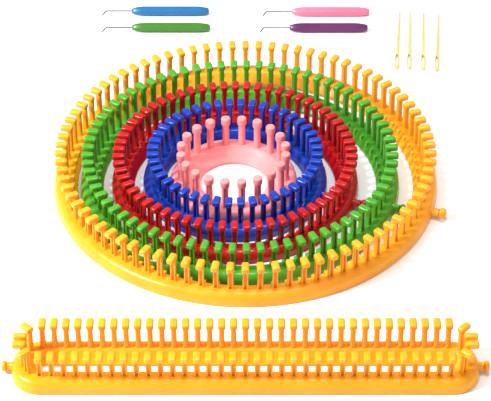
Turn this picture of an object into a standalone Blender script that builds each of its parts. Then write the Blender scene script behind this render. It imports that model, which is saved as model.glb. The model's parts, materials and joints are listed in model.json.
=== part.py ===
"""Knitting loom kit: five round looms nested in each other, a long loom in front of them,
four loom hooks and four plastic needles behind them.

Metres, +Z up. The kit lies on z = 0, and X = Y = 0 is the middle of its footprint.
"""
import math
from collections import namedtuple

import bmesh
import bpy
from mathutils import Matrix, Vector

# ---- driving dimensions ------------------------------------------------------------------
BASE_HEIGHT = 0.0100        # top of every loom's base
WALL = 0.0018               # thickness of the hollow base
SHOULDERS = ((0.0030, 0.0009), (0.0006, 0.0040))   # outer bevel: in from the wall, down
GROOVE_HALF = 0.0030        # half width of the groove that holds the peg strips
GROOVE_DEPTH = 0.0025
RAIL_HALF = 0.0023          # half width of a peg strip's rail
RAIL_TOP = BASE_HEIGHT - 0.0002
RAIL_BOTTOM = BASE_HEIGHT - GROOVE_DEPTH + 0.0003
STRIP_GAP = 0.0003          # half of the gap between two strips
INNER_LIP = 0.0026          # height of the base's inner edge
HOLLOW_LEAN = 0.0012        # how far the hollow's outer side leans in
HOLLOW_SLOPE = 0.0050       # from the inner edge to where the hollow's roof begins

STEM_HALF_DEPTH = 0.0019    # peg stem, measured outward
PEG_WIDTH = 0.0048
HEAD_REACH = 0.0073         # head tip, outward from the peg's centre
HEAD_THICKNESS = 0.0044
PEG_HEIGHT = 0.0233         # above the base
PEG_ROOT = 0.0012           # stem that reaches down into the rail
ROUND_STEM_RADIUS = 0.0025  # the small loom's turned pegs
ROUND_HEAD_RADIUS = 0.0036
ROUND_HEAD_HEIGHT = 0.0062
ROUND_PEG_HEIGHT = 0.0245
ROUND_PEG_SIDES = 8

ANCHOR_HEIGHT = 0.0050      # axis of the side pegs that hold the yarn's end
ANCHOR_STEM_RADIUS = 0.0028
ANCHOR_HEAD_RADIUS = 0.0039
ANCHOR_SIDES = 10
ANCHOR_NECK = 0.50          # stem before the head, as a share of the length
ANCHOR_ANGLE = math.radians(-17)
FIT = 0.0003                # gap between pieces that touch
ARC_ERROR = 0.00035         # how far a straight segment may stray from its arc

RoundLoom = namedtuple(
    "RoundLoom",
    "name centre outer inner peg_circle pegs strips anchor_length")

ROUND_LOOMS = (
    RoundLoom("yellow", (0.0, 0.0), 0.1460, 0.1278, 0.1370, 82, 7, 0.0100),
    RoundLoom("green", (-0.0042, -0.0030), 0.1213, 0.1039, 0.1123, 72, 7, 0.0075),
    RoundLoom("red", (-0.0079, -0.0050), 0.0940, 0.0766, 0.0853, 62, 6, 0.0090),
    RoundLoom("blue", (-0.0079, -0.0030), 0.0703, 0.0533, 0.0596, 44, 4, 0.0050),
    RoundLoom("pink", (-0.0090, -0.0035), 0.0485, 0.0255, 0.0398, 20, 2, 0.0034),
)

LONG_Y = -0.2125            # centre line of the long loom
LONG_HALF_LENGTH = 0.1510   # from the middle to the end pegs
LONG_HALF_WIDTH = 0.0145    # from the centre line to a row of pegs
LONG_CORNER = 0.0113        # radius of the peg line's corners
LONG_OUTER = 0.0090         # base outside the peg line
LONG_INNER = 0.0093         # base inside the peg line
LONG_PITCH = 0.0082
LONG_ROW_PEGS = 35
LONG_ROW_STRIPS = 3
LONG_PEG_HEIGHT = 0.0205
LONG_ANCHOR_LENGTH = 0.0070

HANDLE_LENGTH = 0.0655
HANDLE_RADIUS = 0.0040      # at the corners of its eight sides
HANDLE_SIDES = 8
HANDLE_HEIGHT = HANDLE_RADIUS * math.cos(math.pi / HANDLE_SIDES)   # axis, lying on one side
HANDLE_TAPER = 0.0080
HANDLE_END = 0.55           # width of the tapered ends, as a share of the handle's
HANDLE_BORE = (0.0009, 0.0120)   # radius and depth of the blind hole for the wire
WIRE_RADIUS = 0.0006
WIRE_REACH = 0.0205         # straight wire in front of the handle
WIRE_BEND = 0.0015          # radius of the bend before the tip
WIRE_TURN = math.radians(64)
WIRE_TIP = 0.0080
HOOKS = (                   # name, handle's front end (x, y)
    ("blue_hook", (-0.0966, 0.2322)),
    ("green_hook", (-0.0953, 0.2070)),
    ("pink_hook", (0.0396, 0.2312)),
    ("purple_hook", (0.0372, 0.2066)),
)

NEEDLE_LENGTH = 0.0860
NEEDLE_HALF_WIDTH = 0.0010
NEEDLE_THICKNESS = 0.0020
EYE_LENGTH = 0.0230
EYE_HALF_WIDTH = 0.0018
EYE_RIM = 0.0008
NEEDLES = (                 # name, eye's end (x, y), turn about the vertical
    ("needle_a", (0.1245, 0.1500), math.radians(-5)),
    ("needle_b", (0.1349, 0.1500), math.radians(-4)),
    ("needle_c", (0.1462, 0.1490), math.radians(-4)),
    ("needle_d", (0.1573, 0.1470), math.radians(-5)),
)

COLOURS = {                 # linear RGB, roughness, metallic
    "yellow_plastic": ((0.98, 0.46, 0.03), 0.38, 0.0),
    "green_plastic": ((0.07, 0.44, 0.04), 0.32, 0.0),
    "red_plastic": ((0.60, 0.01, 0.01), 0.25, 0.0),
    "blue_plastic": ((0.01, 0.07, 0.52), 0.25, 0.0),
    "pink_plastic": ((0.94, 0.34, 0.36), 0.35, 0.0),
    "amber_plastic": ((0.96, 0.40, 0.01), 0.35, 0.0),
    "handle_blue": ((0.03, 0.26, 0.65), 0.35, 0.0),
    "handle_green": ((0.09, 0.40, 0.03), 0.35, 0.0),
    "handle_pink": ((0.98, 0.30, 0.48), 0.35, 0.0),
    "handle_purple": ((0.20, 0.03, 0.20), 0.35, 0.0),
    "needle_plastic": ((0.75, 0.72, 0.16), 0.35, 0.0),
    "steel": ((0.55, 0.55, 0.57), 0.30, 1.0),
}


# ---- scene helpers -----------------------------------------------------------------------
def clear_scene():
    for item in list(bpy.data.objects):
        bpy.data.objects.remove(item, do_unlink=True)


def make_materials():
    materials = {}
    for name, (colour, roughness, metallic) in COLOURS.items():
        material = bpy.data.materials.new(name)
        material.use_nodes = True
        shader = material.node_tree.nodes["Principled BSDF"]
        shader.inputs["Base Color"].default_value = (*colour, 1.0)
        shader.inputs["Roughness"].default_value = roughness
        shader.inputs["Metallic"].default_value = metallic
        materials[name] = material
    return materials


def add_object(name, mesh, material, collection):
    item = bpy.data.objects.new(name, mesh)
    item.data.materials.append(material)
    collection.objects.link(item)
    return item


def mesh_from(bm, name):
    """Closes a bmesh into a mesh: seams welded, faces pointing out."""
    bmesh.ops.remove_doubles(bm, verts=bm.verts, dist=1e-6)
    bmesh.ops.recalc_face_normals(bm, faces=bm.faces)
    mesh = bpy.data.meshes.new(name)
    bm.to_mesh(mesh)
    bm.free()
    return mesh


def smooth(item, angle=math.radians(40)):
    item.data.shade_smooth()
    item.data.set_sharp_from_angle(angle=angle)


# ---- swept, turned and extruded shapes ---------------------------------------------------
Straight = namedtuple("Straight", "step")
Turn = namedtuple("Turn", "centre angle steps")


def sweep(points, moves, closed):
    """Carries a closed section along straight runs and turns about the vertical."""
    bm = bmesh.new()
    verts = [bm.verts.new(point) for point in points]
    edges = [bm.edges.new((verts[i - 1], verts[i])) for i in range(len(verts))]
    for move in moves:
        if isinstance(move, Turn):
            result = bmesh.ops.spin(
                bm, geom=verts + edges, cent=move.centre, axis=(0, 0, 1),
                angle=move.angle, steps=move.steps)
            geometry = result["geom_last"]
        else:
            result = bmesh.ops.extrude_edge_only(bm, edges=edges)
            geometry = result["geom"]
            moved = [g for g in geometry if isinstance(g, bmesh.types.BMVert)]
            bmesh.ops.translate(bm, verts=moved, vec=move.step)
        verts = [g for g in geometry if isinstance(g, bmesh.types.BMVert)]
        edges = [g for g in geometry if isinstance(g, bmesh.types.BMEdge)]
    bmesh.ops.remove_doubles(bm, verts=bm.verts, dist=1e-6)
    if not closed:
        bmesh.ops.holes_fill(bm, edges=bm.edges, sides=len(points))
    return bm


def turned(profile, sides):
    """Turns (distance along X, radius) points about the X axis into a closed solid."""
    bm = bmesh.new()
    verts = [bm.verts.new((along, 0.0, radius)) for along, radius in profile]
    edges = [bm.edges.new((verts[i], verts[i + 1])) for i in range(len(verts) - 1)]
    bmesh.ops.spin(bm, geom=verts + edges, cent=(0, 0, 0), axis=(1, 0, 0),
                   angle=2 * math.pi, steps=sides)
    bmesh.ops.remove_doubles(bm, verts=bm.verts, dist=1e-6)
    return bm


def extruded(outline, thickness):
    """Extrudes an outline in the XZ plane to both sides of it along Y."""
    bm = bmesh.new()
    face = bm.faces.new([bm.verts.new((x, -thickness / 2, z)) for x, z in outline])
    result = bmesh.ops.extrude_face_region(bm, geom=[face])
    moved = [g for g in result["geom"] if isinstance(g, bmesh.types.BMVert)]
    bmesh.ops.translate(bm, verts=moved, vec=(0, thickness, 0))
    return bm


def united(name, body, additions):
    """Boolean union of a mesh with another mesh of separate solids."""
    main = bpy.data.objects.new(name, body)
    other = bpy.data.objects.new(name + "_additions", additions)
    for item in (main, other):
        bpy.context.scene.collection.objects.link(item)
    union = main.modifiers.new("union", "BOOLEAN")
    union.operation = "UNION"
    union.solver = "EXACT"
    union.object = other
    evaluated = main.evaluated_get(bpy.context.evaluated_depsgraph_get())
    mesh = bpy.data.meshes.new_from_object(evaluated)
    for item in (main, other):
        bpy.data.objects.remove(item, do_unlink=True)
    return mesh


# ---- pegs --------------------------------------------------------------------------------
def bar_peg(height):
    """Flat stem with a bar head that reaches outward along +X. z = 0 is the base's top."""
    under_head = height - HEAD_THICKNESS
    outline = (
        (-STEM_HALF_DEPTH, -PEG_ROOT),
        (STEM_HALF_DEPTH, -PEG_ROOT),
        (STEM_HALF_DEPTH, under_head),
        (HEAD_REACH, under_head),
        (HEAD_REACH, height),
        (-STEM_HALF_DEPTH, height),
    )
    return mesh_from(extruded(outline, PEG_WIDTH), "bar_peg")


def round_peg():
    """Turned peg with a wider head."""
    profile = (
        (-PEG_ROOT, 0.0),
        (-PEG_ROOT, ROUND_STEM_RADIUS),
        (ROUND_PEG_HEIGHT - ROUND_HEAD_HEIGHT, ROUND_STEM_RADIUS),
        (ROUND_PEG_HEIGHT - ROUND_HEAD_HEIGHT, ROUND_HEAD_RADIUS),
        (ROUND_PEG_HEIGHT, ROUND_HEAD_RADIUS),
        (ROUND_PEG_HEIGHT, 0.0),
    )
    bm = turned(profile, ROUND_PEG_SIDES)
    bmesh.ops.rotate(bm, verts=bm.verts, cent=(0, 0, 0),
                     matrix=Matrix.Rotation(-math.pi / 2, 3, "Y"))
    return mesh_from(bm, "round_peg")


def row_of_pegs(peg, places):
    """Copies a peg to each place: (x, y, outward direction)."""
    bm = bmesh.new()
    for x, y, heading in places:
        first = len(bm.verts)
        bm.from_mesh(peg)
        bm.verts.ensure_lookup_table()
        place = Matrix.Translation((x, y, BASE_HEIGHT)) @ Matrix.Rotation(heading, 4, "Z")
        bmesh.ops.transform(bm, matrix=place, verts=bm.verts[first:])
    return mesh_from(bm, "pegs")


def peg_strip(name, section, moves, peg, places):
    rail = mesh_from(sweep(section, moves, closed=False), name)
    return united(name, rail, row_of_pegs(peg, places))


# ---- bases -------------------------------------------------------------------------------
def base_section(outer, inner):
    """(outward distance from the peg line, height) points of the hollow base."""
    roof = BASE_HEIGHT - GROOVE_DEPTH - WALL
    bevel = [(outer - inward, BASE_HEIGHT - down) for inward, down in SHOULDERS]
    return (
        (GROOVE_HALF, BASE_HEIGHT),
        *bevel,
        (outer, 0.0),
        (outer - WALL, 0.0),
        (outer - WALL - HOLLOW_LEAN, roof),
        (HOLLOW_SLOPE - inner, roof),
        (WALL - inner, WALL),
        (WALL - inner, 0.0),
        (-inner, 0.0),
        (-inner, INNER_LIP),
        (-GROOVE_HALF, BASE_HEIGHT),
        (-GROOVE_HALF, BASE_HEIGHT - GROOVE_DEPTH),
        (GROOVE_HALF, BASE_HEIGHT - GROOVE_DEPTH),
    )


def rail_section():
    return (
        (RAIL_HALF, RAIL_BOTTOM),
        (RAIL_HALF, RAIL_TOP),
        (-RAIL_HALF, RAIL_TOP),
        (-RAIL_HALF, RAIL_BOTTOM),
    )


def section_on_circle(section, radius, angle):
    """Stands a section on a circle about the Z axis, at an angle from +X."""
    return [
        Vector(((radius + out) * math.cos(angle), (radius + out) * math.sin(angle), z))
        for out, z in section
    ]


def anchor_peg(length):
    """Side peg along +X, from the base's wall at x = 0."""
    collar = length * ANCHOR_NECK
    profile = (
        (FIT, 0.0),
        (FIT, ANCHOR_STEM_RADIUS),
        (collar, ANCHOR_STEM_RADIUS),
        (collar, ANCHOR_HEAD_RADIUS),
        (length, ANCHOR_HEAD_RADIUS),
        (length, 0.0),
    )
    return mesh_from(turned(profile, ANCHOR_SIDES), "anchor_peg")


# ---- round looms -------------------------------------------------------------------------
def arc_steps(arc, radius):
    """Segments that keep an arc within ARC_ERROR of its circle."""
    return math.ceil(arc / (2 * math.acos(1 - ARC_ERROR / radius)))


def split_evenly(total, parts):
    """Shares a count out as evenly as whole numbers allow."""
    return [total // parts + (1 if i < total % parts else 0) for i in range(parts)]


def build_round_loom(loom, peg, material, collection):
    centre = Vector((*loom.centre, 0.0))
    section = base_section(loom.outer - loom.peg_circle, loom.peg_circle - loom.inner)
    circle = 2 * math.pi
    full_turn = Turn((0, 0, 0), circle, arc_steps(circle, loom.peg_circle))
    ring = sweep(section_on_circle(section, loom.peg_circle, 0.0), [full_turn], closed=True)
    base = add_object(f"{loom.name}_base", mesh_from(ring, "base"), material, collection)
    base.location = centre
    smooth(base)

    pitch = circle / loom.pegs
    end_gap = STRIP_GAP / loom.peg_circle
    first_peg = 0
    for number, count in enumerate(split_evenly(loom.pegs, loom.strips), start=1):
        start = first_peg * pitch + end_gap
        arc = count * pitch - 2 * end_gap
        section = section_on_circle(rail_section(), loom.peg_circle, start)
        moves = [Turn((0, 0, 0), arc, arc_steps(arc, loom.peg_circle))]
        angles = [(first_peg + i + 0.5) * pitch for i in range(count)]
        places = [
            (loom.peg_circle * math.cos(a), loom.peg_circle * math.sin(a), a) for a in angles
        ]
        name = f"{loom.name}_peg_strip_{number}"
        mesh = peg_strip(name, section, moves, peg, places)
        strip = add_object(name, mesh, material, collection)
        strip.location = centre
        first_peg += count

    anchor = add_object(f"{loom.name}_anchor_peg", anchor_peg(loom.anchor_length), material,
                        collection)
    out = Vector((math.cos(ANCHOR_ANGLE), math.sin(ANCHOR_ANGLE), 0.0))
    anchor.location = centre + out * loom.outer + Vector((0, 0, ANCHOR_HEIGHT))
    anchor.rotation_euler.z = ANCHOR_ANGLE
    smooth(anchor)


# ---- long loom ---------------------------------------------------------------------------
def long_corner_centres():
    x = LONG_HALF_LENGTH - LONG_CORNER
    y = LONG_HALF_WIDTH - LONG_CORNER
    return [Vector((x, -y, 0)), Vector((x, y, 0)), Vector((-x, y, 0)), Vector((-x, -y, 0))]


def build_long_base(material, collection):
    """The section runs along the front row and on round the four corners."""
    run_x = 2 * (LONG_HALF_LENGTH - LONG_CORNER)
    run_y = 2 * (LONG_HALF_WIDTH - LONG_CORNER)
    section = [
        Vector((-run_x / 2, -LONG_HALF_WIDTH - out, z))
        for out, z in base_section(LONG_OUTER, LONG_INNER)
    ]
    runs = [(run_x, 0, 0), (0, run_y, 0), (-run_x, 0, 0), (0, -run_y, 0)]
    moves = []
    for run, corner in zip(runs, long_corner_centres()):
        moves.append(Straight(run))
        moves.append(Turn(corner, math.pi / 2, 6))
    mesh = mesh_from(sweep(section, moves, closed=True), "long_base")
    base = add_object("long_base", mesh, material, collection)
    base.location.y = LONG_Y
    smooth(base)


def build_long_rows(peg, material, collection):
    for side, row in ((-1, "front"), (1, "back")):
        first_peg = 0
        for number, count in enumerate(split_evenly(LONG_ROW_PEGS, LONG_ROW_STRIPS), 1):
            first_x = (first_peg - (LONG_ROW_PEGS - 1) / 2) * LONG_PITCH
            start = first_x - LONG_PITCH / 2 + STRIP_GAP
            length = count * LONG_PITCH - 2 * STRIP_GAP
            row_y = side * LONG_HALF_WIDTH
            section = [Vector((start, row_y + out, z)) for out, z in rail_section()]
            places = [
                (first_x + i * LONG_PITCH, row_y, side * math.pi / 2) for i in range(count)
            ]
            name = f"long_{row}_peg_strip_{number}"
            mesh = peg_strip(name, section, [Straight((length, 0, 0))], peg, places)
            strip = add_object(name, mesh, material, collection)
            strip.location.y = LONG_Y
            first_peg += count


def build_long_ends(peg, material, collection):
    """Each end strip runs round two corners: a corner peg, two end pegs, a corner peg."""
    front_corner, back_corner = long_corner_centres()[:2]
    row_end = LONG_ROW_PEGS / 2 * LONG_PITCH - front_corner.x
    start = front_corner + Vector((row_end + STRIP_GAP, -LONG_CORNER, 0))
    slack = math.asin((row_end + STRIP_GAP) / LONG_CORNER)
    section = [
        front_corner + Vector((math.sin(slack), -math.cos(slack), 0)) * (LONG_CORNER + out)
        + Vector((0, 0, z))
        for out, z in rail_section()
    ]
    moves = [
        Turn(front_corner, math.pi / 2 - slack, 3),
        Straight(back_corner - front_corner),
        Turn(back_corner, math.pi / 2 - slack, 3),
    ]
    diagonal = LONG_CORNER * math.sqrt(0.5)
    places = [
        (front_corner.x + diagonal, front_corner.y - diagonal, -math.pi / 4),
        (LONG_HALF_LENGTH, -LONG_PITCH / 2, 0.0),
        (LONG_HALF_LENGTH, LONG_PITCH / 2, 0.0),
        (back_corner.x + diagonal, back_corner.y + diagonal, math.pi / 4),
    ]
    for side, turn in (("right", 0.0), ("left", math.pi)):
        name = f"long_{side}_peg_strip"
        strip = add_object(name, peg_strip(name, section, moves, peg, places), material,
                           collection)
        strip.rotation_euler.z = turn
        strip.location.y = LONG_Y
        anchor = add_object(f"long_{side}_anchor_peg", anchor_peg(LONG_ANCHOR_LENGTH),
                            material, collection)
        reach = LONG_HALF_LENGTH + LONG_OUTER
        anchor.location = (reach * math.cos(turn), LONG_Y, ANCHOR_HEIGHT)
        anchor.rotation_euler.z = turn
        smooth(anchor)


# ---- hooks and needles -------------------------------------------------------------------
def handle_mesh():
    """Eight-sided handle along +X from its front end, with a blind hole for the wire."""
    bore_radius, bore_depth = HANDLE_BORE
    profile = (
        (bore_depth, 0.0),
        (bore_depth, bore_radius),
        (0.0, bore_radius),
        (0.0, HANDLE_RADIUS * HANDLE_END),
        (HANDLE_TAPER, HANDLE_RADIUS),
        (HANDLE_LENGTH - HANDLE_TAPER, HANDLE_RADIUS),
        (HANDLE_LENGTH, HANDLE_RADIUS * HANDLE_END),
        (HANDLE_LENGTH, 0.0),
    )
    bm = turned(profile, HANDLE_SIDES)
    bmesh.ops.rotate(bm, verts=bm.verts, cent=(0, 0, 0),
                     matrix=Matrix.Rotation(math.pi / HANDLE_SIDES, 3, "X"))
    return mesh_from(bm, "handle")


def wire_mesh():
    """Wire along -X out of the handle, with its tip bent towards -Y."""
    inside = HANDLE_BORE[1] - FIT
    turns = [WIRE_TURN * share for share in (0.0, 0.5, 1.0)]
    bend = [
        (-WIRE_REACH - WIRE_BEND * math.sin(a), -WIRE_BEND * (1 - math.cos(a)))
        for a in turns
    ]
    last_x, last_y = bend[-1]
    tip = (last_x - WIRE_TIP * math.cos(WIRE_TURN), last_y - WIRE_TIP * math.sin(WIRE_TURN))
    route = [(inside, 0.0), *bend, tip]
    curve = bpy.data.curves.new("wire", "CURVE")
    curve.dimensions = "3D"
    curve.bevel_depth = WIRE_RADIUS
    curve.bevel_resolution = 2
    curve.use_fill_caps = True
    spline = curve.splines.new("POLY")
    spline.points.add(len(route) - 1)
    for point, (x, y) in zip(spline.points, route):
        point.co = (x, y, 0.0, 1.0)
    guide = bpy.data.objects.new("wire_guide", curve)
    bpy.context.scene.collection.objects.link(guide)
    evaluated = guide.evaluated_get(bpy.context.evaluated_depsgraph_get())
    tube = bpy.data.meshes.new_from_object(evaluated)
    bpy.data.objects.remove(guide, do_unlink=True)
    bm = bmesh.new()
    bm.from_mesh(tube)
    return mesh_from(bm, "wire")


def needle_mesh():
    """Flat needle along +Y from its eye, lying on z = 0."""
    eye_middle = EYE_LENGTH / 2
    steps = 10
    neck = math.radians(28)
    angles = [neck + i * (2 * math.pi - 2 * neck) / steps for i in range(steps + 1)]
    outline = [
        (-EYE_HALF_WIDTH * math.sin(a), eye_middle + eye_middle * math.cos(a))
        for a in angles
    ]
    outline += [
        (NEEDLE_HALF_WIDTH, EYE_LENGTH * 1.15),
        (NEEDLE_HALF_WIDTH, NEEDLE_LENGTH * 0.75),
        (NEEDLE_HALF_WIDTH * 0.35, NEEDLE_LENGTH),
        (-NEEDLE_HALF_WIDTH * 0.35, NEEDLE_LENGTH),
        (-NEEDLE_HALF_WIDTH, NEEDLE_LENGTH * 0.75),
        (-NEEDLE_HALF_WIDTH, EYE_LENGTH * 1.15),
    ]
    hole = [
        ((EYE_HALF_WIDTH - EYE_RIM) * math.cos(a),
         eye_middle + (eye_middle - EYE_RIM) * math.sin(a))
        for a in (2 * math.pi * i / steps for i in range(steps))
    ]
    curve = bpy.data.curves.new("needle", "CURVE")
    curve.dimensions = "2D"
    curve.fill_mode = "BOTH"
    curve.extrude = NEEDLE_THICKNESS / 2
    for points in (outline, hole):
        spline = curve.splines.new("POLY")
        spline.points.add(len(points) - 1)
        for point, (x, y) in zip(spline.points, points):
            point.co = (x, y, 0.0, 1.0)
        spline.use_cyclic_u = True
    guide = bpy.data.objects.new("needle_guide", curve)
    bpy.context.scene.collection.objects.link(guide)
    evaluated = guide.evaluated_get(bpy.context.evaluated_depsgraph_get())
    flat = bpy.data.meshes.new_from_object(evaluated)
    bpy.data.objects.remove(guide, do_unlink=True)
    bm = bmesh.new()
    bm.from_mesh(flat)
    bmesh.ops.translate(bm, verts=bm.verts, vec=(0, 0, NEEDLE_THICKNESS / 2))
    return mesh_from(bm, "needle")


def build_hooks(materials, collection):
    handle = handle_mesh()
    wire = wire_mesh()
    for name, (x, y) in HOOKS:
        colour = name.split("_")[0]
        grip = add_object(f"{name}_handle", handle.copy(), materials[f"handle_{colour}"],
                          collection)
        rod = add_object(f"{name}_wire", wire.copy(), materials["steel"], collection)
        for item in (grip, rod):
            item.location = (x, y, HANDLE_HEIGHT)
            smooth(item)


def build_needles(material, collection):
    needle = needle_mesh()
    for name, (x, y), turn in NEEDLES:
        item = add_object(name, needle.copy(), material, collection)
        item.location = (x, y, 0.0)
        item.rotation_euler.z = turn


def main():
    clear_scene()
    collection = bpy.data.collections.new("knitting_loom_kit")
    bpy.context.scene.collection.children.link(collection)
    materials = make_materials()

    for loom in ROUND_LOOMS:
        peg = round_peg() if loom.name == "pink" else bar_peg(PEG_HEIGHT)
        build_round_loom(loom, peg, materials[f"{loom.name}_plastic"], collection)

    amber = materials["amber_plastic"]
    long_peg = bar_peg(LONG_PEG_HEIGHT)
    build_long_base(amber, collection)
    build_long_rows(long_peg, amber, collection)
    build_long_ends(long_peg, amber, collection)

    build_hooks(materials, collection)
    build_needles(materials["needle_plastic"], collection)


main()
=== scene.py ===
"""Looks for the knitting loom kit: moulded plastic looms, hooks and needles round the CAD frame.

Metres, +Z up, in the CAD's own frame. Sections are (outward, height) points, outward from the
line that the pegs stand on.
"""
import json
import math
from collections import namedtuple

import bmesh
import bpy
from mathutils import Matrix, Vector


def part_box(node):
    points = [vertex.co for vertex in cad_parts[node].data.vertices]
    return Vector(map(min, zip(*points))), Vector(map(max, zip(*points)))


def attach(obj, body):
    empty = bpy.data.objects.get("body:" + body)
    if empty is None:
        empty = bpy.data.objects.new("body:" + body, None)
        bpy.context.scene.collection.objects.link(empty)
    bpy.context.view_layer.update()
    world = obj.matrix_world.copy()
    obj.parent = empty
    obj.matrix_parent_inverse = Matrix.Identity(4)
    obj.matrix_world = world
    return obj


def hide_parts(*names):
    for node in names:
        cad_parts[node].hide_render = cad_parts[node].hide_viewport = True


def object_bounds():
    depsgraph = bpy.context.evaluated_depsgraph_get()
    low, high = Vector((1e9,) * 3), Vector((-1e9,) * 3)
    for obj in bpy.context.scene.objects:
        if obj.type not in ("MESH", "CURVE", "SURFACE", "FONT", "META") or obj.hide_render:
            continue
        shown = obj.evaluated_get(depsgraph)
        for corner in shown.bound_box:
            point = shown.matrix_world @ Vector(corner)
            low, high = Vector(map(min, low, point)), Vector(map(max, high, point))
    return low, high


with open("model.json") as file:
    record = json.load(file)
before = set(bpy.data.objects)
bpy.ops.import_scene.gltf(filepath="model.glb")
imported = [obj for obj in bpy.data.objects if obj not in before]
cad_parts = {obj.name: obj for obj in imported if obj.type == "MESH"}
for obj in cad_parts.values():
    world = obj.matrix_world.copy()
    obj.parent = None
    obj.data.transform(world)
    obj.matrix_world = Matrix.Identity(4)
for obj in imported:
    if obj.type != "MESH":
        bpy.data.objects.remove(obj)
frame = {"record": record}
cad_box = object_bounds()

# ---- sizes the CAD is built from ---------------------------------------------------------
RoundLoom = namedtuple(
    "RoundLoom", "name centre outer inner peg_circle pegs strips foot")

ROUND_LOOMS = (
    RoundLoom("yellow", (0.0, 0.0), 0.1460, 0.1278, 0.1370, 82, 7, 0.0050),
    RoundLoom("green", (-0.0042, -0.0030), 0.1213, 0.1039, 0.1123, 72, 7, 0.0048),
    RoundLoom("red", (-0.0079, -0.0050), 0.0940, 0.0766, 0.0853, 62, 6, 0.0032),
    RoundLoom("blue", (-0.0079, -0.0030), 0.0703, 0.0533, 0.0596, 44, 4, 0.0020),
    RoundLoom("pink", (-0.0090, -0.0035), 0.0485, 0.0255, 0.0398, 20, 2, 0.0),
)
BASE_HEIGHT = 0.0100
WALL = 0.0018
SHOULDER = (0.0060, 0.0062)     # width and height of the rounded outer shoulder
INNER_LIP = 0.0026
PEG_HEIGHT = 0.0233
ROUND_PEG_HEIGHT = 0.0245
PEG_ROOT = 0.0042               # stem below the base's top, through its wall
STEM_BACK = 0.0019              # how far a bar peg's stem reaches inward
HEAD_BACK = 0.0022              # bar head's reach inward, from the stem's axis
HEAD_REACH = 0.0073             # and outward
HEAD_HALF_WIDTH = 0.0027
HEAD_THICKNESS = 0.0045
HEAD_ROUNDING = 0.0015
FOOT_HALF_WIDTH = 0.0017
FOOT_DEPTH = 0.0052             # underside of the foot bar, below the base's top
NOTCH_HALF_WIDTH = 0.0008       # groove in a round peg's stem
ROUND_HEAD_RADIUS = 0.0036
SOFTENED_POWER = 2.25           # superellipse powers: 2 is round, more is squarer
KNOB_POWER = 3.0
SWEEP_STEPS = 180               # sections round a ring

LONG_HALF_LENGTH = 0.1510
LONG_HALF_WIDTH = 0.0145
LONG_CORNER = 0.0113
LONG_OUTER = 0.0090
LONG_INNER = 0.0093
LONG_PITCH = 0.0082
LONG_ROW_PEGS = 35
LONG_ROW_STRIPS = 3
LONG_PEG_HEIGHT = 0.0205
LONG_FOOT = 0.0008

ANCHOR_ANGLE = math.radians(-17)
ANCHOR_NECK = 0.48              # stem before the knob, as a share of the length
ANCHOR_STEM_RADIUS = 0.0028
ANCHOR_KNOB_RADIUS = 0.0039

HANDLE_SIDES = 8
HANDLE_SOFTENING = 0.996        # corner radius left after softening, as a share
WIRE_INSERT = 0.0040            # wire inside the handle
WIRE_TIP_REACH = 0.0040         # bent tip, measured along the handle

NEEDLES = (("needle_a", -5), ("needle_b", -4), ("needle_c", -4), ("needle_d", -5))  # degrees
NEEDLE_LENGTH = 0.0860
EYE_LENGTH = 0.0230
EYE_HALF_WIDTH = 0.0018
EYE_RIM = 0.0006
END_HALF_WIDTH = 0.0006
NECK_HALF_WIDTH = 0.0008        # at both ends of the eye
SHAFT_HALF_WIDTH = 0.0010
TIP_HALF_WIDTH = 0.0003
NEEDLE_EDGE = 0.00025           # rounding of a needle's edges

SHARP_ANGLE = math.radians(38)  # edges sharper than this stay crisp
TAU = 2 * math.pi

# ---- look --------------------------------------------------------------------------------
PLASTICS = {                    # linear RGB, roughness, glow under the skin
    "yellow_plastic": ((0.980, 0.385, 0.010), 0.32, 0.10),
    "green_plastic": ((0.060, 0.335, 0.015), 0.21, 0.05),
    "red_plastic": ((0.450, 0.002, 0.002), 0.17, 0.05),
    "blue_plastic": ((0.001, 0.038, 0.370), 0.16, 0.03),
    "pink_plastic": ((0.960, 0.285, 0.285), 0.34, 0.12),
    "amber_plastic": ((0.980, 0.385, 0.004), 0.28, 0.10),
    "handle_blue": ((0.006, 0.145, 0.370), 0.33, 0.05),
    "handle_green": ((0.036, 0.190, 0.008), 0.33, 0.05),
    "handle_pink": ((0.900, 0.190, 0.300), 0.33, 0.10),
    "handle_purple": ((0.112, 0.010, 0.100), 0.33, 0.05),
    "needle_plastic": ((0.600, 0.560, 0.180), 0.33, 0.20),
}
STEEL_GREYS = ((0.16, 0.16, 0.17), (0.27, 0.27, 0.28))
WORLD_STRENGTH = 0.56
LIGHTS = (                      # name, place, target, size, power
    ("key", (-1.00, -0.38, 0.92), (0.0, -0.02, 0.0), 0.30, 26.0),
    ("top", (0.10, 0.10, 1.30), (0.0, 0.0, 0.0), 0.60, 9.0),
)
CAMERA_ELEVATION = math.radians(38.3)
CAMERA_DISTANCE = 1.600
CAMERA_AIM = (0.0, -0.0233, 0.0)
CAMERA_LENS = 155.0


# ---- materials ---------------------------------------------------------------------------
def noise(tree, scale, detail, coordinates):
    node = tree.nodes.new("ShaderNodeTexNoise")
    node.inputs["Scale"].default_value = scale
    node.inputs["Detail"].default_value = detail
    tree.links.new(coordinates, node.inputs["Vector"])
    return node.outputs["Fac"]


def remap(tree, value, low, high, to_low, to_high):
    node = tree.nodes.new("ShaderNodeMapRange")
    node.inputs["From Min"].default_value = low
    node.inputs["From Max"].default_value = high
    node.inputs["To Min"].default_value = to_low
    node.inputs["To Max"].default_value = to_high
    tree.links.new(value, node.inputs["Value"])
    return node.outputs["Result"]


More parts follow.
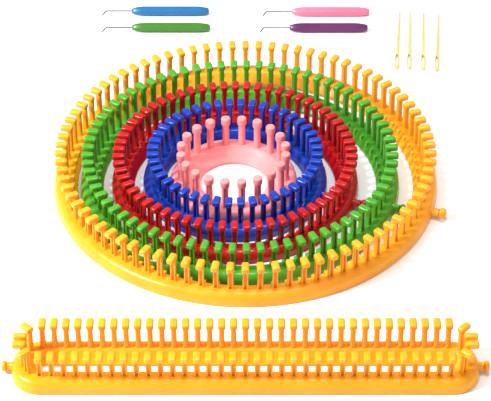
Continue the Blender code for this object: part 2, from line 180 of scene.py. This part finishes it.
def mixed(tree, factor, first, second):
    """Colour between two colours, each given as plain values or as a socket."""
    node = tree.nodes.new("ShaderNodeMix")
    node.data_type = "RGBA"
    tree.links.new(factor, node.inputs["Factor"])
    for name, colour in (("A", first), ("B", second)):
        socket = next(s for s in node.inputs if s.name == name and s.type == "RGBA")
        if isinstance(colour, bpy.types.NodeSocket):
            tree.links.new(colour, socket)
        else:
            socket.default_value = (*colour, 1.0)
    return next(s for s in node.outputs if s.type == "RGBA")


def moulded_plastic(name, colour, roughness, glow):
    """Glossy moulded plastic: faint cloudiness, orange-peel skin, edges a shade paler as a
    painted highlight.
    """
    material = bpy.data.materials.new(name)
    material.use_nodes = True
    tree = material.node_tree
    shader = tree.nodes["Principled BSDF"]
    place = tree.nodes.new("ShaderNodeTexCoord").outputs["Object"]

    cloud = remap(tree, noise(tree, 38.0, 3.0, place), 0.35, 0.65, 0.0, 1.0)
    deep = tuple(c * 0.93 for c in colour)
    pale = tuple(min(1.0, c * 1.05 + 0.004) for c in colour)
    body = mixed(tree, cloud, deep, pale)
    # Painted highlight: convex edges are painted paler, standing in for light catching the rims
    # of the plastic.
    pointed = tree.nodes.new("ShaderNodeNewGeometry").outputs["Pointiness"]
    edge_highlight_mask = remap(tree, pointed, 0.53, 0.62, 0.0, 0.35)
    edge_highlight = tuple(min(1.0, c * 1.10 + 0.035) for c in colour)
    tree.links.new(mixed(tree, edge_highlight_mask, body, edge_highlight), shader.inputs["Base Color"])

    smear = noise(tree, 130.0, 4.0, place)
    rough = remap(tree, smear, 0.3, 0.7, roughness - 0.05, roughness + 0.08)
    tree.links.new(rough, shader.inputs["Roughness"])

    bump = tree.nodes.new("ShaderNodeBump")
    bump.inputs["Strength"].default_value = 0.25
    bump.inputs["Distance"].default_value = 0.00005
    tree.links.new(noise(tree, 900.0, 2.0, place), bump.inputs["Height"])
    tree.links.new(bump.outputs["Normal"], shader.inputs["Normal"])

    shader.inputs["IOR"].default_value = 1.46
    shader.inputs["Subsurface Weight"].default_value = glow
    shader.inputs["Subsurface Radius"].default_value = (1.0, 0.45, 0.15)
    shader.inputs["Subsurface Scale"].default_value = 0.002
    return material


def drawn_steel(name):
    """Steel wire with fine marks along it."""
    material = bpy.data.materials.new(name)
    material.use_nodes = True
    tree = material.node_tree
    shader = tree.nodes["Principled BSDF"]
    place = tree.nodes.new("ShaderNodeTexCoord").outputs["Object"]
    stretch = tree.nodes.new("ShaderNodeMapping")
    stretch.inputs["Scale"].default_value = (60.0, 3000.0, 3000.0)
    tree.links.new(place, stretch.inputs["Vector"])
    marks = noise(tree, 1.0, 4.0, stretch.outputs["Vector"])
    grey = remap(tree, marks, 0.3, 0.7, 0.0, 1.0)
    tree.links.new(mixed(tree, grey, *STEEL_GREYS), shader.inputs["Base Color"])
    tree.links.new(remap(tree, marks, 0.3, 0.7, 0.22, 0.38), shader.inputs["Roughness"])
    shader.inputs["Metallic"].default_value = 1.0
    return material


# ---- pieces ------------------------------------------------------------------------------
BODY_OF = {
    node: body
    for body, nodes in frame["record"]["behaviour"]["bodies"].items()
    for node in nodes
}


def add_piece(name, bm, material, node):
    """Turns a bmesh into a shown piece that stands for a CAD node."""
    bmesh.ops.recalc_face_normals(bm, faces=bm.faces)
    mesh = bpy.data.meshes.new(name)
    bm.to_mesh(mesh)
    bm.free()
    mesh.materials.append(material)
    mesh.shade_smooth()
    mesh.set_sharp_from_angle(angle=SHARP_ANGLE)
    piece = bpy.data.objects.new(name, mesh)
    bpy.context.scene.collection.objects.link(piece)
    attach(piece, BODY_OF[node])
    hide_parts(node)
    return piece


def ring_faces(bm, rings, closed):
    """Quads between successive rings of vertices, each ring a closed loop."""
    pairs = list(zip(rings, rings[1:]))
    if closed:
        pairs.append((rings[-1], rings[0]))
    for first, second in pairs:
        for i in range(len(first)):
            bm.faces.new((first[i - 1], first[i], second[i], second[i - 1]))


def lofted(rings):
    """A closed solid through rings of points."""
    bm = bmesh.new()
    loops = [[bm.verts.new(point) for point in ring] for ring in rings]
    ring_faces(bm, loops, closed=False)
    bm.faces.new(loops[0])
    bm.faces.new(list(reversed(loops[-1])))
    return bm


def arc(centre, radii, start, end, steps, power=2.0):
    """Points on a (super)ellipse's arc, angles in degrees."""
    points = []
    for i in range(steps + 1):
        angle = math.radians(start + (end - start) * i / steps)
        along = math.copysign(abs(math.cos(angle)) ** (2 / power), math.cos(angle))
        up = math.copysign(abs(math.sin(angle)) ** (2 / power), math.sin(angle))
        points.append((centre[0] + radii[0] * along, centre[1] + radii[1] * up))
    return points


def turned(profile, sides=24):
    """Turns (height, radius) points about the Z axis."""
    rings = []
    for height, radius in profile:
        rings.append([
            Vector((radius * math.cos(TAU * i / sides), radius * math.sin(TAU * i / sides),
                    height))
            for i in range(sides)
        ])
    return lofted(rings)


def rounded_box(low, high, rounding, segments=3):
    bm = bmesh.new()
    bmesh.ops.create_cube(bm, size=1.0)
    size = Vector(high) - Vector(low)
    middle = (Vector(high) + Vector(low)) / 2
    bmesh.ops.scale(bm, verts=bm.verts, vec=size)
    bmesh.ops.translate(bm, verts=bm.verts, vec=middle)
    bmesh.ops.bevel(bm, geom=bm.edges, offset=rounding, segments=segments, profile=0.5,
                    affect="EDGES")
    return bm


def gathered(parts):
    """One mesh from several bmeshes, which are freed."""
    bm = bmesh.new()
    for part in parts:
        mesh = bpy.data.meshes.new("part")
        part.to_mesh(mesh)
        part.free()
        bm.from_mesh(mesh)
        bpy.data.meshes.remove(mesh)
    mesh = bpy.data.meshes.new("gathered")
    bm.to_mesh(mesh)
    bm.free()
    return mesh


def placed(mesh, places):
    """A bmesh with one copy of the mesh for each matrix."""
    bm = bmesh.new()
    for place in places:
        first = len(bm.verts)
        bm.from_mesh(mesh)
        bm.verts.ensure_lookup_table()
        bmesh.ops.transform(bm, matrix=place, verts=bm.verts[first:])
    return bm


def standing(x, y, heading):
    """Where a peg stands: its outward side turned to the heading."""
    return Matrix.Translation((x, y, BASE_HEIGHT)) @ Matrix.Rotation(heading, 4, "Z")


# ---- pegs --------------------------------------------------------------------------------
def grooved_section(scale_out, scale_side):
    """Peg stem seen from above: two ridges outward with a groove between them."""
    half = (
        (-0.00190, 0.00060), (-0.00178, 0.00120), (-0.00130, 0.00160), (-0.00060, 0.00180),
        (0.00100, 0.00205), (0.00165, 0.00200), (0.00190, 0.00170), (0.00190, 0.00112),
        (0.00168, 0.00086), (0.00030, 0.00070), (0.00015, 0.00040),
    )
    outline = list(half) + [(x, -y) for x, y in reversed(half)]
    return [(x * scale_out, y * scale_side) for x, y in outline]


def grooved_stem(height):
    """Stem that swells where it meets the base and the head."""
    levels = (                  # height, outward scale, sideways scale
        (-PEG_ROOT, 0.80, 0.80),
        (-0.0010, 1.00, 1.14),
        (0.0006, 1.00, 1.12),
        (0.0020, 1.00, 1.02),
        (height * 0.5, 1.00, 0.98),
        (height - HEAD_THICKNESS, 1.00, 1.00),
        (height - 0.0010, 1.00, 1.06),
    )
    return lofted([
        [Vector((x, y, z)) for x, y in grooved_section(out, side)]
        for z, out, side in levels
    ])


def bar_peg(height, foot):
    """Grooved stem with a bar head reaching outward (+X) and a foot bar reaching inward."""
    head = rounded_box((-HEAD_BACK, -HEAD_HALF_WIDTH, height - HEAD_THICKNESS),
                       (HEAD_REACH, HEAD_HALF_WIDTH, height), HEAD_ROUNDING, segments=4)
    pad = rounded_box((-0.0020, -0.0026, -0.0012), (0.0027, 0.0026, 0.0005), 0.0005,
                      segments=2)
    bar = rounded_box((-STEM_BACK - foot, -FOOT_HALF_WIDTH, -FOOT_DEPTH),
                      (-0.0005, FOOT_HALF_WIDTH, 0.0001), 0.0006)
    return gathered([grooved_stem(height), head, pad, bar])


def notched_circle(radius, notch, steps=20):
    """Round stem section with a groove cut in its outward side."""
    half = math.asin(notch / radius)
    points = []
    for i in range(steps + 1):
        angle = half + (TAU - 2 * half) * i / steps
        points.append((radius * math.cos(angle), radius * math.sin(angle)))
    points.append((radius * 0.35, -notch * 0.8))
    points.append((radius * 0.35, notch * 0.8))
    return points


def round_peg(height):
    """Round grooved stem under a barrel head with a nearly flat top."""
    levels = ((-PEG_ROOT, 0.0020), (-0.0008, 0.0031), (0.0006, 0.0029), (0.0020, 0.0027),
              (height * 0.6, 0.0026), (height - 0.0050, 0.0026))
    stem = lofted([
        [Vector((x, y, z)) for x, y in notched_circle(radius, NOTCH_HALF_WIDTH)]
        for z, radius in levels
    ])
    flare = (
        (height - 0.0068, 0.0024), (height - 0.0064, 0.0029), (height - 0.0060, 0.0033),
        (height - 0.0055, 0.0035),
    )
    barrel = ((height - 0.0048, ROUND_HEAD_RADIUS), (height - 0.0016, ROUND_HEAD_RADIUS))
    crown = (
        (height - 0.0009, 0.00352), (height - 0.0004, 0.00325), (height - 0.0001, 0.00285),
        (height, 0.0024), (height - 0.00005, 0.0015), (height - 0.0001, 0.0004),
    )
    head = flare + barrel + crown
    return gathered([stem, turned(head)])


def anchor_peg(length):
    """Side peg along +Z: stem and rounded knob."""
    neck = length * ANCHOR_NECK
    knob = arc((0.0, 0.0), (ANCHOR_KNOB_RADIUS, (length - neck) / 2), -80, 80, 10, KNOB_POWER)
    profile = [(-0.0014, 0.0034), (0.0000, 0.0034), (0.0008, 0.0030),
               (neck - 0.0006, ANCHOR_STEM_RADIUS), (neck - 0.0001, 0.0031)]
    profile += [((length + neck) / 2 + z, r) for r, z in knob]
    return gathered([turned(profile)])


# ---- bases -------------------------------------------------------------------------------
def base_section(outer, inner):
    """Closed section of the moulded base, from the outer foot round over the top."""
    width, height = SHOULDER
    turn = (outer - 0.0002 - width, BASE_HEIGHT - height)
    shoulder = arc(turn, (width, height), 0, 90, 12, SOFTENED_POWER)
    under = BASE_HEIGHT - WALL
    brow = arc((-0.0026, BASE_HEIGHT - 0.0022), (0.0022, 0.0022), 90, 140, 4)
    lip = arc((-inner + 0.0009, INNER_LIP - 0.0007), (0.0009, 0.0007), 120, 180, 3)
    section = [(outer - 0.0003, 0.0), (outer, 0.0003), (outer - 0.0001, 0.0020)]
    section += shoulder
    section += brow
    section += lip
    section += [(-inner, 0.0003), (-inner + 0.0003, 0.0), (-inner + 0.0015, 0.0)]
    section += [(-inner + 0.0017, 0.0009), (-0.0034, under - 0.0008), (-0.0026, under - 0.0002)]
    section += [(outer - width, under - 0.0002)]
    section += arc(turn, (width - WALL, height - WALL), 90, 0, 8, SOFTENED_POWER)[1:]
    section += [(outer - WALL, 0.0)]
    return section


def swept(section, path):
    """Carries the section round a closed path of (point, outward) pairs."""
    bm = bmesh.new()
    rings = [
        [bm.verts.new((point[0] + outward[0] * out, point[1] + outward[1] * out, z))
         for out, z in section]
        for point, outward in path
    ]
    ring_faces(bm, rings, closed=True)
    return bm


def circle_path(centre, radius, steps):
    directions = [(math.cos(TAU * i / steps), math.sin(TAU * i / steps)) for i in range(steps)]
    return [
        ((centre[0] + radius * x, centre[1] + radius * y), (x, y)) for x, y in directions
    ]


def long_path(centre_y, steps=14):
    """The long loom's peg line: two straight rows and two short ends, round corners."""
    path = []
    corner_x = LONG_HALF_LENGTH - LONG_CORNER
    corner_y = LONG_HALF_WIDTH - LONG_CORNER
    for quarter, (sx, sy) in enumerate(((1, 1), (-1, 1), (-1, -1), (1, -1))):
        for i in range(steps + 1):
            angle = (quarter + i / steps) * math.pi / 2
            outward = (math.cos(angle), math.sin(angle))
            path.append((
                (sx * corner_x + LONG_CORNER * outward[0],
                 centre_y + sy * corner_y + LONG_CORNER * outward[1]),
                outward))
    return path


def split_evenly(total, parts):
    return [total // parts + (1 if i < total % parts else 0) for i in range(parts)]


# ---- looms -------------------------------------------------------------------------------
def build_round_loom(loom, material):
    section = base_section(loom.outer - loom.peg_circle, loom.peg_circle - loom.inner)
    path = circle_path(loom.centre, loom.peg_circle, SWEEP_STEPS)
    add_piece(f"{loom.name}_ring", swept(section, path), material, f"{loom.name}_base")

    if loom.foot:
        peg = bar_peg(PEG_HEIGHT, loom.foot)
    else:
        peg = round_peg(ROUND_PEG_HEIGHT)
    pitch = TAU / loom.pegs
    first_peg = 0
    for number, count in enumerate(split_evenly(loom.pegs, loom.strips), start=1):
        angles = [(first_peg + i + 0.5) * pitch for i in range(count)]
        places = [
            standing(loom.centre[0] + loom.peg_circle * math.cos(a),
                     loom.centre[1] + loom.peg_circle * math.sin(a), a)
            for a in angles
        ]
        add_piece(f"{loom.name}_pegs_{number}", placed(peg, places), material,
                  f"{loom.name}_peg_strip_{number}")
        first_peg += count
    build_anchor(f"{loom.name}_anchor", f"{loom.name}_anchor_peg", loom.centre, loom.outer,
                 ANCHOR_ANGLE, material)


def build_anchor(name, node, centre, wall, heading, material):
    """Side peg from the base's wall out to where the CAD's ends."""
    low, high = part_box(node)
    outward = Vector((math.cos(heading), math.sin(heading), 0.0))
    middle = (low + high) / 2
    start = Vector((centre[0], centre[1], 0.0)) + outward * wall
    length = 2 * (middle - start).dot(outward)
    place = (
        Matrix.Translation((start.x, start.y, middle.z))
        @ Matrix.Rotation(heading, 4, "Z")
        @ Matrix.Rotation(math.pi / 2, 4, "Y")
    )
    add_piece(name, placed(anchor_peg(length), [place]), material, node)


def build_long_loom(material):
    low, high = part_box("long_base")
    centre_y = (low.y + high.y) / 2
    section = base_section(LONG_OUTER, LONG_INNER)
    add_piece("long_tray", swept(section, long_path(centre_y)), material, "long_base")

    peg = bar_peg(LONG_PEG_HEIGHT, LONG_FOOT)
    for side, row in ((-1, "front"), (1, "back")):
        first_peg = 0
        for number, count in enumerate(split_evenly(LONG_ROW_PEGS, LONG_ROW_STRIPS), 1):
            first_x = (first_peg - (LONG_ROW_PEGS - 1) / 2) * LONG_PITCH
            places = [
                standing(first_x + i * LONG_PITCH, centre_y + side * LONG_HALF_WIDTH,
                         side * math.pi / 2)
                for i in range(count)
            ]
            add_piece(f"long_{row}_pegs_{number}", placed(peg, places), material,
                      f"long_{row}_peg_strip_{number}")
            first_peg += count

    diagonal = LONG_CORNER * math.sqrt(0.5)
    corner_x = LONG_HALF_LENGTH - LONG_CORNER + diagonal
    corner_y = LONG_HALF_WIDTH - LONG_CORNER + diagonal
    end_pegs = (
        (corner_x, -corner_y, -math.pi / 4),
        (LONG_HALF_LENGTH, -LONG_PITCH / 2, 0.0),
        (LONG_HALF_LENGTH, LONG_PITCH / 2, 0.0),
        (corner_x, corner_y, math.pi / 4),
    )
    for side, turn in (("right", 0.0), ("left", math.pi)):
        about = Matrix.Translation((0, centre_y, 0)) @ Matrix.Rotation(turn, 4, "Z")
        places = [about @ standing(*end) for end in end_pegs]
        add_piece(f"long_{side}_pegs", placed(peg, places), material,
                  f"long_{side}_peg_strip")
        build_anchor(f"long_{side}_anchor", f"long_{side}_anchor_peg", (0.0, centre_y),
                     LONG_HALF_LENGTH + LONG_OUTER, turn, material)


# ---- hooks and needles -------------------------------------------------------------------
def handle_ring(x, middle, radius, steps=64):
    """Eight-sided ring with softened corners, standing on one side."""
    flat = radius * math.cos(math.pi / HANDLE_SIDES)
    side = TAU / HANDLE_SIDES
    points = []
    for i in range(steps):
        angle = TAU * i / steps
        within = (angle + side / 2) % side - side / 2
        reach = min(flat / math.cos(within), radius * HANDLE_SOFTENING)
        points.append(Vector((x, middle.y + reach * math.cos(angle),
                              middle.z + reach * math.sin(angle))))
    return points


def tube(route, radii, sides=12):
    """A round tube through the points, lying level."""
    rings = []
    for i, (point, radius) in enumerate(zip(route, radii)):
        ahead = route[min(i + 1, len(route) - 1)] - route[max(i - 1, 0)]
        across = Vector((-ahead.y, ahead.x, 0.0)).normalized()
        rings.append([
            point + across * radius * math.cos(TAU * j / sides)
            + Vector((0, 0, radius * math.sin(TAU * j / sides)))
            for j in range(sides)
        ])
    return lofted(rings)


def build_hook(name, material, steel):
    """Eight-sided tapered handle and a bent wire."""
    low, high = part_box(f"{name}_handle")
    middle = (low + high) / 2
    radius = (high.z - low.z) / 2 / math.cos(math.pi / HANDLE_SIDES)
    length = high.x - low.x
    stations = (                # distance from the front end, share of the radius
        (0.0002, 0.30), (0.0000, 0.42), (0.0005, 0.55), (0.0030, 0.76), (0.0060, 0.92),
        (0.0090, 0.99), (0.0140, 1.00), (length - 0.0120, 1.00), (length - 0.0080, 0.97),
        (length - 0.0040, 0.83), (length - 0.0012, 0.68), (length - 0.0003, 0.58),
        (length, 0.45), (length - 0.0001, 0.20),
    )
    rings = [handle_ring(low.x + x, middle, radius * share) for x, share in stations]
    add_piece(f"{name}_grip", lofted(rings), material, f"{name}_handle")

    wire_low, wire_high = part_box(f"{name}_wire")
    wire_radius = (wire_high.z - wire_low.z) / 2
    bend_x = wire_low.x + WIRE_TIP_REACH
    tip = Vector((wire_low.x + wire_radius, wire_low.y + wire_radius, middle.z))
    corner = Vector((bend_x, middle.y, middle.z))
    route = [Vector((low.x + WIRE_INSERT, middle.y, middle.z)),
             corner + Vector((0.0030, 0, 0))]
    for i in range(7):
        share = i / 6
        before = corner + Vector((0.0014 * (1 - share), 0, 0))
        after = corner.lerp(tip, 0.16 * share)
        route.append(before.lerp(after, share))
    route += [corner.lerp(tip, 0.6), corner.lerp(tip, 0.93), tip]
    radii = [wire_radius] * (len(route) - 3)
    radii += [wire_radius * 0.95, wire_radius * 0.75, wire_radius * 0.35]
    add_piece(f"{name}_rod", tube(route, radii), steel, f"{name}_wire")


def needle_outline(steps=28):
    """(x, y) from the eye's end: rounded eye, shaft tapering to a point."""
    right = []
    for i in range(steps + 1):
        share = i / steps
        y = EYE_LENGTH * share
        swell = math.sin(math.pi * min(1.0, 0.10 + share * 0.85)) ** 0.55
        right.append((NECK_HALF_WIDTH + (EYE_HALF_WIDTH - NECK_HALF_WIDTH) * swell, y))
    right[0] = (END_HALF_WIDTH, 0.0)
    for share in (0.35, 0.5, 0.65, 0.8, 0.9, 0.96, 1.0):
        y = NEEDLE_LENGTH * share
        taper = (SHAFT_HALF_WIDTH - TIP_HALF_WIDTH) * max(0.0, share - 0.5) * 2
        right.append((SHAFT_HALF_WIDTH - taper, y))
    return right


def needle_eye(steps=24):
    """(x, y) round the long hole in the needle's end."""
    points = []
    for i in range(steps):
        angle = TAU * i / steps
        points.append(((EYE_HALF_WIDTH - EYE_RIM) * math.cos(angle),
                       EYE_LENGTH * (0.47 + 0.41 * math.sin(angle))))
    return points


def build_needles(material):
    for name, turn in NEEDLES:
        low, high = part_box(name)
        angle = math.radians(turn)
        lean = math.sin(angle) * NEEDLE_LENGTH / 2
        eye_x = (low.x + high.x) / 2 + lean - 0.00035    # the eye is wider than the tip
        curve = bpy.data.curves.new(name, "CURVE")
        curve.dimensions = "2D"
        curve.fill_mode = "BOTH"
        curve.bevel_depth = NEEDLE_EDGE
        curve.bevel_resolution = 3
        curve.extrude = (high.z - low.z) / 2 - curve.bevel_depth
        curve.offset = -curve.bevel_depth
        right = needle_outline()
        outline = right + [(-x, y) for x, y in reversed(right)]
        for points in (outline, needle_eye()):
            spline = curve.splines.new("POLY")
            spline.points.add(len(points) - 1)
            for point, (x, y) in zip(spline.points, points):
                point.co = (x, y, 0.0, 1.0)
            spline.use_cyclic_u = True
        guide = bpy.data.objects.new(name + "_guide", curve)
        bpy.context.scene.collection.objects.link(guide)
        evaluated = guide.evaluated_get(bpy.context.evaluated_depsgraph_get())
        flat = bpy.data.meshes.new_from_object(evaluated)
        bpy.data.objects.remove(guide, do_unlink=True)
        bm = bmesh.new()
        bm.from_mesh(flat)
        bmesh.ops.remove_doubles(bm, verts=bm.verts, dist=1e-6)
        place = (Matrix.Translation((eye_x, low.y, (low.z + high.z) / 2))
                 @ Matrix.Rotation(angle, 4, "Z"))
        bmesh.ops.transform(bm, matrix=place, verts=bm.verts)
        add_piece(f"{name}_bar", bm, material, name)


# ---- stage -------------------------------------------------------------------------------
def paper(name):
    material = bpy.data.materials.new(name)
    material.use_nodes = True
    tree = material.node_tree
    shader = tree.nodes["Principled BSDF"]
    shader.inputs["Base Color"].default_value = (0.93, 0.93, 0.93, 1.0)
    shader.inputs["Roughness"].default_value = 0.9
    shader.inputs["Specular IOR Level"].default_value = 0.1
    return material


def area_light(name, place, target, size, power):
    """Round white lamp turned to its target."""
    lamp = bpy.data.lights.new(name, "AREA")
    lamp.shape = "DISK"
    lamp.size = size
    lamp.energy = power
    light = bpy.data.objects.new(name, lamp)
    light.location = place
    light.rotation_euler = (Vector(target) - Vector(place)).to_track_quat("-Z", "Y").to_euler()
    bpy.context.scene.collection.objects.link(light)


def build_stage():
    """Pale floor under the part, even light all round and two lamps."""
    low, high = cad_box
    reach = (high - low).length * 6
    bm = bmesh.new()
    bmesh.ops.create_grid(bm, x_segments=4, y_segments=4, size=reach)
    bmesh.ops.translate(bm, verts=bm.verts, vec=(0, 0, low.z - 0.0002))
    mesh = bpy.data.meshes.new("floor")
    bm.to_mesh(mesh)
    bm.free()
    mesh.materials.append(paper("paper"))
    floor = bpy.data.objects.new("floor", mesh)
    bpy.context.scene.collection.objects.link(floor)

    world = bpy.data.worlds.new("studio")
    bpy.context.scene.world = world
    world.use_nodes = True
    background = world.node_tree.nodes["Background"]
    background.inputs["Color"].default_value = (1.0, 1.0, 1.0, 1.0)
    background.inputs["Strength"].default_value = WORLD_STRENGTH
    for light in LIGHTS:
        area_light(*light)


def build_camera():
    """Long lens above the front edge, looking down on the nest's middle."""
    back = Vector((0.0, -math.cos(CAMERA_ELEVATION), math.sin(CAMERA_ELEVATION)))
    data = bpy.data.cameras.new("camera")
    data.sensor_width = 36.0
    data.lens = CAMERA_LENS
    data.clip_end = 20.0
    camera = bpy.data.objects.new("camera", data)
    camera.location = Vector(CAMERA_AIM) + back * CAMERA_DISTANCE
    camera.rotation_euler = (-back).to_track_quat("-Z", "Y").to_euler()
    bpy.context.scene.collection.objects.link(camera)
    bpy.context.scene.camera = camera
    bpy.context.scene.view_settings.view_transform = "Standard"


# ---- everything --------------------------------------------------------------------------
def main():
    plastics = {
        name: moulded_plastic(name, *look) for name, look in PLASTICS.items()
    }
    steel = drawn_steel("steel")
    for loom in ROUND_LOOMS:
        build_round_loom(loom, plastics[f"{loom.name}_plastic"])
    build_long_loom(plastics["amber_plastic"])
    for colour in ("blue", "green", "pink", "purple"):
        build_hook(f"{colour}_hook", plastics[f"handle_{colour}"], steel)
    build_needles(plastics["needle_plastic"])
    build_stage()
    build_camera()


main()
